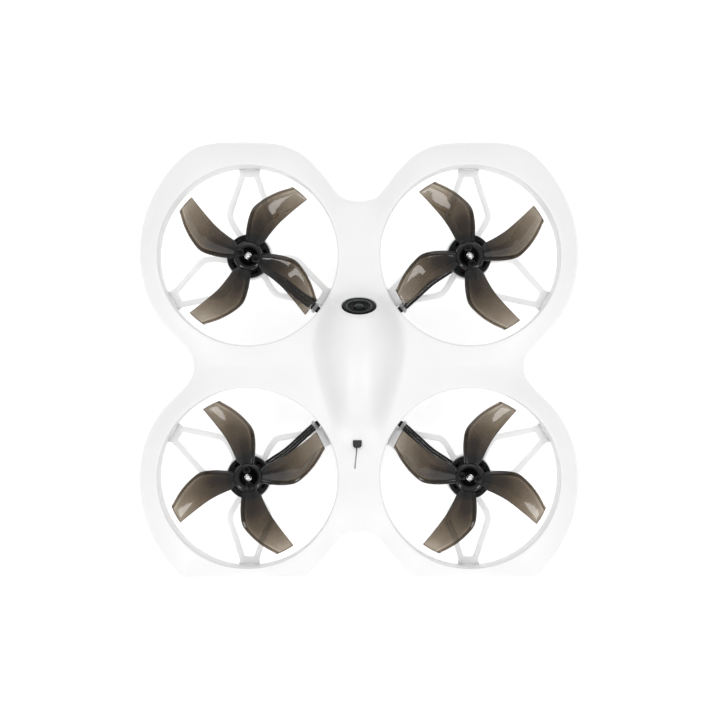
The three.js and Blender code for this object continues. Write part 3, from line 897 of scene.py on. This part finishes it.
def build_shaft(corner):
    low, high = box_mm("shaft_" + corner)
    radius = (high.x - low.x) / 2
    profile = [(0, low.z), (radius - 0.08, low.z), (radius, low.z + 0.08), (radius, high.z - 0.4),
               (radius * 0.93, high.z - 0.26), (radius * 0.75, high.z - 0.12),
               (radius * 0.45, high.z - 0.03), (0, high.z)]
    return piece("motor_shaft_" + corner, *turned(profile, 32), centre=hub_of(corner))


# ---- propellers ----

SPIN = {"front_left": 1, "front_right": -1, "rear_left": -1, "rear_right": 1}
REST_ANGLE = {"front_left": 56.7, "front_right": 25.5, "rear_left": 20.9, "rear_right": 67.8}
HUB_BOTTOM = BELL_TOP + GAP
HUB_TOP = HUB_BOTTOM + 4.2
HUB_RADIUS = 4.4
PROP_RADIUS = 24.85
PROP_PITCH = 50.8               # advance in one turn
STEEPEST = 0.62                 # the blades' slope near the hub
PROP_MIDDLE = (HUB_BOTTOM + HUB_TOP) / 2
SCREW_CIRCLE = 2.45
SCREW_TURN = 102                # from the first blade to the first screw
HOLE_RADIUS = 1.05
BLADES = 4
BLADE_FROM, BLADE_TO = 0.13, 0.9995
BLADE_THICK = (1.05, 0.5)       # at the root and at the tip
TIP_THINS = 0.97
CAMBER = 0.8
DROOP = 0.55
BLADE_ROWS = 44
CHORD_STEPS = (0, 0.015, 0.04, 0.09, 0.18, 0.3, 0.43, 0.56, 0.68, 0.78, 0.84, 0.88, 0.91, 0.935,
               0.955, 0.975, 0.99, 1)

# Edges of a blade: degrees ahead of the tip's leading corner, at shares of the radius.
LEADING = ((0.13, 45), (0.27, 39), (0.32, 37), (0.43, 33.2), (0.55, 29.2), (0.61, 26.2),
           (0.67, 21.2), (0.8, 12.3), (0.94, 3.5), (0.985, 1.0), (1.0, 0.0))
TRAILING = ((0.13, -17), (0.27, -15), (0.32, -12), (0.43, -10), (0.55, -9.5), (0.67, -10.5),
            (0.8, -11.5), (0.94, -12.5), (0.985, -12.8), (1.0, -12.9))


def smooth_edge(edge, share, reach=0.035):
    """An edge's angle, averaged a little either way so that its corners are soft."""
    places, angles = zip(*edge)
    return sum(float(np.interp(share + reach * k / 2, places, angles)) for k in (-2, -1, 0, 1, 2)) / 5


def blade_point(out, chord, upper, spin):
    """A point on a blade's skin: out from root to tip, chord from trailing to leading edge."""
    share = lerp(BLADE_FROM, BLADE_TO, out)
    radius = PROP_RADIUS * share
    back, lead = smooth_edge(TRAILING, share), smooth_edge(LEADING, share)
    turn = lerp(back, lead, chord)
    reach = math.radians(turn - (back + lead) / 2) * radius
    slope = min(STEEPEST, PROP_PITCH / (2 * math.pi * radius))
    camber = CAMBER * math.sin(math.pi * chord) * (1 - 0.4 * out)
    droop = DROOP * float(smoothstep(0.83, 1.0, chord)) * (1 - 0.3 * out)
    tip = 1 if out < TIP_THINS else lerp(1, 0.5, (out - TIP_THINS) / (1 - TIP_THINS))
    thick = lerp(*BLADE_THICK, out ** 0.7) * tip
    section = thick * (0.2 + 0.8 * math.sin(math.pi * chord ** 0.8) ** 0.8) / 2
    z = PROP_MIDDLE + reach * slope + camber - droop + (section if upper else -section)
    return (*polar(radius, turn * spin), z)


def blade(spin):
    """One cambered, twisted blade as a closed lofted surface."""
    loop = [(chord, True) for chord in CHORD_STEPS]
    loop += [(chord, False) for chord in reversed(CHORD_STEPS)]
    return lofted([[blade_point(i / BLADE_ROWS, chord, upper, spin) for chord, upper in loop]
                   for i in range(BLADE_ROWS + 1)])


# Painted lines along a blade's leading edge, dark ones for painted shade and pale ones for painted
# highlights: strength, how far in, width.
PAINTED_LEAD_LINES = ((0.3, 0.72, 0.3), (0.2, 0, 0.2), (-0.15, 0.34, 0.16), (-0.1, 1.5, 0.3))


def near(value, middle, width):
    return math.exp(-((value - middle) / width) ** 2)


def smoke_tint_and_painted_light(radius, turn):
    """How dark the propeller is, from 0 clear to 1 black, on its plan: the smoked plastic's own tint,
    darker towards the hub, with painted shade lines and painted highlight lines along the blades' edges
    and a painted dark reflection near their roots. turn is the angle from the tip's leading corner, the
    way the propeller turns."""
    if radius < HUB_RADIUS + 0.03:
        return 1.0
    share = min(radius / PROP_RADIUS, 1)
    back, lead = smooth_edge(TRAILING, share), smooth_edge(LEADING, share)
    from_lead = math.radians(lead - turn) * radius
    from_back = math.radians(turn - back) * radius
    from_tip = PROP_RADIUS - radius
    chord = (turn - back) / (lead - back)
    dark = 0.85 - 0.66 * share
    # Painted shade lines and painted highlight lines along the leading edge.
    dark += sum(strength * near(from_lead, middle, width) for strength, middle, width in PAINTED_LEAD_LINES)
    # Painted dark shade lines along the trailing edge and round the tip.
    dark += 0.08 * near(from_back, 0, 0.25) + 0.2 * near(from_tip, 0, 0.25)
    # A painted dark patch near the root, standing in for a reflection.
    dark += 0.13 * near(chord, 0.62, 0.22) * near(share, 0.36, 0.15)
    return dark + 0.35 * near(radius, HUB_RADIUS, 0.8)


def mark_tint_and_painted_light(obj, corner):
    """Stores each vertex's tint, with its painted highlight and shade lines, for the smoked plastic to
    read.
    """
    hub_x, hub_y = hub_of(corner)
    marks = obj.data.attributes.new("tint_and_painted_light", "FLOAT", "POINT")
    step = 360 / BLADES
    for vertex, mark in zip(obj.data.vertices, marks.data):
        x, y = vertex.co.x / MM - hub_x, vertex.co.y / MM - MIDDLE_Y - hub_y
        turn = (math.degrees(math.atan2(y, x)) - REST_ANGLE[corner]) * SPIN[corner]
        mark.value = smoke_tint_and_painted_light(math.hypot(x, y), (turn + step / 4) % step - step / 4)


def screw_places(corner):
    turn = REST_ANGLE[corner] + SCREW_TURN * SPIN[corner]
    return [polar(SCREW_CIRCLE, turn), polar(SCREW_CIRCLE, turn + 180)]


def build_propeller(corner):
    profile = [(0, HUB_BOTTOM), (HUB_RADIUS - 0.25, HUB_BOTTOM), (HUB_RADIUS, HUB_BOTTOM + 0.25),
               (HUB_RADIUS, HUB_TOP - 0.75), (HUB_RADIUS - 0.13, HUB_TOP - 0.38),
               (HUB_RADIUS - 0.38, HUB_TOP - 0.13), (HUB_RADIUS - 0.75, HUB_TOP), (1.7, HUB_TOP),
               (1.55, HUB_TOP - 0.18), (0, HUB_TOP - 0.18)]
    centre = hub_of(corner)
    obj = piece("propeller_blades_" + corner, *turned(profile, 72), centre=centre)
    for i in range(BLADES):
        turn = REST_ANGLE[corner] + 360 * i / BLADES
        one = piece("blade", *moved(blade(SPIN[corner]), turn=turn), centre=centre)
        obj = joined(obj, one, "UNION")
    low, high = HUB_BOTTOM - 1, HUB_TOP + 1
    drill = turned([(0, low), (HOLE_RADIUS, low), (HOLE_RADIUS, high), (0, high)], 24)
    for place in [(0, 0)] + screw_places(corner):
        obj = cut(obj, moved(drill, *place), centre)
    mark_tint_and_painted_light(obj, corner)
    obj.data.set_sharp_from_angle(angle=math.radians(38))
    return obj


def build_screw(corner, number):
    """A pan head with a cross recess, above its shank."""
    low, high = levels(f"prop_screw_{corner}_{number}")
    seat = HUB_TOP + 0.2
    profile = [(0, low), (0.8, low), (0.8, seat), (1.15, seat), (1.25, seat + 0.1),
               (1.25, seat + 0.4), (1.12, seat + 0.65), (0.75, high), (0, high)]
    place, hub = screw_places(corner)[number - 1], hub_of(corner)
    centre = (hub[0] + place[0], hub[1] + place[1])
    obj = piece(f"propeller_screw_{corner}_{number}", *turned(profile, 32), centre=centre)
    turn = random.uniform(0, 90)
    slot = block((-0.72, -0.15, high - 0.4), (0.72, 0.15, high + 0.3))
    for quarter in (0, 90):
        obj = cut(obj, moved(slot, turn=turn + quarter), centre)
    obj.data.set_sharp_from_angle(angle=math.radians(35))
    return obj


# ---- motor cables: three wires side by side, into a grommet in the duct's wall ----

WIRE_RADIUS = 0.38
WIRE_STEP = 0.78
WIRE_LEVEL = MOUNT_TOP + GAP + 0.45
CABLE_START = -34


def build_cable(corner):
    start, through = mirrored_angle(CABLE_START, corner), mirrored_angle(SLOT_ANGLE, corner)
    route = [(*polar(5.6, start), WIRE_LEVEL), (*polar(9, start), WIRE_LEVEL),
             (*polar(14, start), WIRE_LEVEL + 0.1), (*polar(20, lerp(start, through, 0.7)), WIRE_LEVEL),
             (*polar(24.4, through), WIRE_LEVEL), (*polar(DUCT_BORE + 0.2, through), WIRE_LEVEL)]
    middle = catmull(route, 8)
    side = np.column_stack([leftward(middle[:, :2]), np.zeros(len(middle))])
    spread = WIRE_STEP * (1 - 0.35 * smoothstep(0.85, 1, np.linspace(0, 1, len(middle))))[:, None]
    wires = [swept(middle + side * spread * k, round_section(WIRE_RADIUS)) for k in (-1, 0, 1)]
    grommet = block((DUCT_BORE - 1.0, -0.8, WIRE_LEVEL - 0.6), (DUCT_BORE + 0.3, 0.8, WIRE_LEVEL + 1.2))
    parts = merged(*wires, moved(grommet, turn=through))
    return piece("motor_wires_" + corner, *parts, centre=hub_of(corner))


for corner in CORNERS:
    body = "prop_" + corner
    finish_piece(build_mount(corner), LIGHTENED_STRUT_WHITE, "white_shell", "motor_mount_" + corner)
    finish_piece(build_base(corner), MOTOR_BLACK, "motor_metal", "motor_base_" + corner)
    finish_piece(build_cable(corner), WIRE_BLACK, "wire_black", "motor_cable_" + corner)
    finish_piece(build_bell(corner), MOTOR_BLACK, "motor_metal", "motor_bell_" + corner, body=body)
    finish_piece(build_shaft(corner), STEEL, "steel", "shaft_" + corner, body=body)
    finish_piece(build_propeller(corner), SMOKE, "smoke_prop", "propeller_" + corner, body=body)
    for number in (1, 2):
        finish_piece(build_screw(corner, number), SCREW_STEEL, "motor_metal",
                     f"prop_screw_{corner}_{number}", body=body)
finish_piece(build_tub(), SHELL_WHITE, "white_shell", "centre_hull")
finish_piece(build_ribs(), SHELL_WHITE, "white_shell", "centre_hull")

# ---- the craft's own camera: a barrel with stepped rings round a domed lens ----


def along_lens(part):
    """A part built up the Z axis, turned to look out along the lens's axis."""
    verts, faces = part
    across, up = np.array([1, 0, 0]), np.cross(LENS_AXIS, [1, 0, 0])
    return [tuple(LENS_CENTRE + x * across + y * up + z * LENS_AXIS) for x, y, z in verts], faces


def build_barrel():
    profile = [(0, -5.9), (3.6, -5.9), (3.6, -2), (4.9, -1.4), (4.95, -1.2), (4.95, -0.05),
               (4.85, 0.12), (4.65, 0.2), (4.15, 0.2), (3.95, 0.12), (3.25, -0.42), (3.1, -0.45),
               (2.75, -0.45), (2.6, -0.38), (2.5, -0.2), (2.35, -0.15), (2.2, -0.2), (2.1, -0.38),
               (1.9, -0.45), (0, -0.5)]
    return piece("camera_barrel", *along_lens(turned(profile, 72)))


def build_lens():
    profile = [(0, -0.4), (1.65, -0.36), (1.7, -0.28), (1.5, -0.1), (1.2, 0.04), (0.8, 0.15),
               (0.4, 0.21), (0, 0.23)]
    return piece("camera_lens", *along_lens(turned(profile, 64)))


def build_lens_ring():
    profile = [(3.3, -0.5), (3.2, -0.36), (3.9, 0.16), (4.05, 0.05), (3.9, -0.2)]
    return piece("lens_ring", *along_lens(closed_ring(profile, 72)))


finish_piece(build_lens_ring(), LENS_RING, "black_plastic", "lens_barrel")
finish_piece(build_barrel(), LENS_BLACK, "black_plastic", "lens_barrel")
finish_piece(build_lens(), LENS, "lens_glass", "lens_glass")

# ---- antenna behind the canopy ----


def build_antenna_base():
    (left, rear, low), (right, front, high) = plan_box("antenna_base")
    left, right = left + 0.05, right - 0.05
    outline = [(left, front), (left + 0.03, rear + 0.7), (left + 0.2, rear + 0.25), (left + 0.6, rear),
               (right - 0.75, rear), (right - 0.3, rear + 0.2), (right - 0.06, rear + 0.7), (right, front)]
    obj = piece("antenna_block", *raised(outline, low - 0.9, high), smooth=False)
    return bevelled(obj, 0.22, 3)


def build_antenna_wire():
    route = [(-0.7, -23.9, 30.6), (-0.7, -24.85, 31.2), (-0.8, -26.2, 33.6), (-1, -27.9, 37),
             (-1.2, -30.2, 40.6)]
    return piece("antenna_whip", *swept(catmull(route, 10), round_section(0.24)))


finish_piece(build_antenna_base(), BLACK_PLASTIC, "black_plastic", "antenna_base")
finish_piece(build_antenna_wire(), DULL_STEEL, "steel", "antenna_wire")

# ---- battery, its tray and its socket ----

TRAY_WALL = 0.95
MOUTH_HALF = 5.5
MOUTH_SILL = 1.5
WINDOWS = (-11.5, -2.5, 6.5, 15.5)
WINDOW_LOW, WINDOW_HIGH = 3.1, 8.6
PACK_CORNER = 1.7

# The pack's fullness along its length, from its rear end: place, share of its section.
PACK_STATIONS = ((0, 0.9), (0.25, 0.95), (0.8, 0.985), (2, 1.0), (4, 0.99), (22, 1.0), (41, 0.99),
                 (43, 1.0), (44.2, 0.985), (44.75, 0.95), (45, 0.9))
SOCKET_WALL = 0.8
PINS = (-1.4, 1.4)


def build_tray():
    """A sleeve open to the rear, with a bridge across its front and windows in its sides."""
    low, high = plan_box("battery_tray")
    wall = np.array([TRAY_WALL, 0, TRAY_WALL])
    obj = piece("tray_sleeve", *block(low, high), smooth=False)
    front = plan_box("battery_pack")[1][1] + GAP
    inside_low = low + wall - (0, 1, 0)
    inside_high = (high[0] - TRAY_WALL, front, high[2] - TRAY_WALL)
    sill = TRAY_WALL + MOUTH_SILL
    obj = cut(obj, block(inside_low, inside_high))
    obj = cut(obj, block((-MOUTH_HALF, low[1], low[2] + sill), (MOUTH_HALF, high[1] + 1, high[2] - sill)))
    for middle in WINDOWS:
        window = [(middle - 3.2, WINDOW_LOW), (middle + 1.8, WINDOW_LOW),
                  (middle + 3.2, WINDOW_HIGH), (middle - 1.8, WINDOW_HIGH)]
        verts, faces = raised(window, low[0] - 1, high[0] + 1)
        obj = cut(obj, ([(z, x, y) for x, y, z in verts], faces))
    return bevelled(obj, 0.25)


def build_pack():
    """A shrink-wrapped cell: full along its middle, pinched in at its two ends."""
    low, high = plan_box("battery_pack")
    flat_x, flat_z = ((high[k] - low[k]) / 2 - 0.02 - PACK_CORNER for k in (0, 2))
    middle_z = (high[2] + low[2]) / 2
    rows = []
    for along, share in PACK_STATIONS:
        row = []
        for turn in range(0, 360, 9):
            c, q = polar(1, turn)
            x = math.copysign(flat_x, c) * (abs(c) > 1e-9) + PACK_CORNER * c
            z = math.copysign(flat_z, q) * (abs(q) > 1e-9) + PACK_CORNER * q
            z *= share if share < 0.98 else 1
            row.append((x * share, low[1] + along, middle_z + z))
        rows.append(row)
    obj = piece("battery_cell", *lofted(rows))
    obj.data.set_sharp_from_angle(angle=math.radians(60))
    return obj


def build_socket():
    low, high = plan_box("battery_socket")
    obj = piece("socket_housing", *block(low, high), smooth=False)
    wall = SOCKET_WALL
    obj = cut(obj, block(low + (wall, -1, wall), (high[0] - wall, high[1] - 1.3, high[2] - wall)))
    return bevelled(obj, 0.18)


def build_contacts():
    low, high = plan_box("battery_socket")
    level = (low[2] + high[2]) / 2
    pins = [block((x - 0.35, low[1] + 1.2, level - 0.9), (x + 0.35, high[1] - 1, level + 0.9))
            for x in PINS]
    return bevelled(piece("socket_contacts", *merged(*pins), smooth=False), 0.12)


finish_piece(build_tray(), SHELL_WHITE, "white_shell", "battery_tray")
finish_piece(build_pack(), BATTERY_FILM, "battery_wrap", "battery_pack", body="battery")
finish_piece(build_socket(), BLACK_PLASTIC, "black_plastic", "battery_socket")
finish_piece(build_contacts(), BRASS, "winding", "battery_socket")

# ---- the pieces kept as the frame has them, inside the hull and the motors ----

KEPT = {"camera_body": BLACK_PLASTIC, "camera_bracket": BLACK_PLASTIC, "bind_button": BLACK_PLASTIC,
        "camera_screw_left": STEEL, "camera_screw_right": STEEL, "usb_port": STEEL,
        "flight_controller_board": BOARD_GREEN, "video_board": BOARD_GREEN}
KEPT.update({"stator_" + corner: WINDING for corner in CORNERS})
for node, material in KEPT.items():
    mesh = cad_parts[node].data
    mesh.materials.clear()
    mesh.materials.append(material)

# ---- floor and light ----

# The tent's brightness by the upward part of the direction, from level to straight up.
TENT = ((0.0, 0.6), (0.3, 0.75), (0.6, 0.88), (0.8, 0.97), (0.955, 1.06), (0.985, 0.08), (1.0, 0.05))
TENT_STRENGTH = 0.787
FLOOR_GLOW = 0.44
FLOOR_REACH = 2000


def floor():
    slab = block((-FLOOR_REACH, -FLOOR_REACH, -1.05), (FLOOR_REACH, FLOOR_REACH, -0.05))
    obj = piece("floor", *slab, smooth=False)
    made = Nodes("pale_floor")
    made.set(Roughness=0.9, Emission_Strength=FLOOR_GLOW, Emission_Color=(1, 1, 1, 1))
    made.feed("Base Color", drift(made, 20.0, 0.93, 0.95))
    obj.data.materials.append(made.material)


def soft_light(name, azimuth, rise, power, width, height, distance=0.9):
    """A softbox, aimed at the object from an azimuth and a rise in degrees."""
    data = bpy.data.lights.new(name, "AREA")
    data.shape = "RECTANGLE"
    data.energy = power
    data.size, data.size_y = width, height
    obj = added(name, data)
    flat, up = polar(distance, rise)
    obj.location = (*polar(flat, azimuth), up)
    obj.rotation_euler = (-obj.location).to_track_quat("-Z", "Y").to_euler()


def studio():
    """A white tent, brightest between its sides and its top, with a dim hole overhead."""
    world = bpy.data.worlds.new("studio")
    world.use_nodes = True
    tree = world.node_tree
    direction = tree.nodes.new("ShaderNodeTexCoord").outputs["Generated"]
    split = tree.nodes.new("ShaderNodeSeparateXYZ")
    tree.links.new(direction, split.inputs["Vector"])
    background = tree.nodes["Background"]
    tree.links.new(ramp_node(tree, split.outputs["Z"], TENT), background.inputs["Color"])
    background.inputs["Strength"].default_value = TENT_STRENGTH
    bpy.context.scene.world = world


floor()
studio()
for side, azimuth in (("left", 228), ("right", 312)):
    soft_light(side + "_softbox", azimuth, rise=46, power=1.6, width=0.14, height=0.6)
soft_light("front_softbox", azimuth=90, rise=50, power=1.5, width=0.8, height=0.6)
bpy.context.scene.view_settings.view_transform = "Standard"
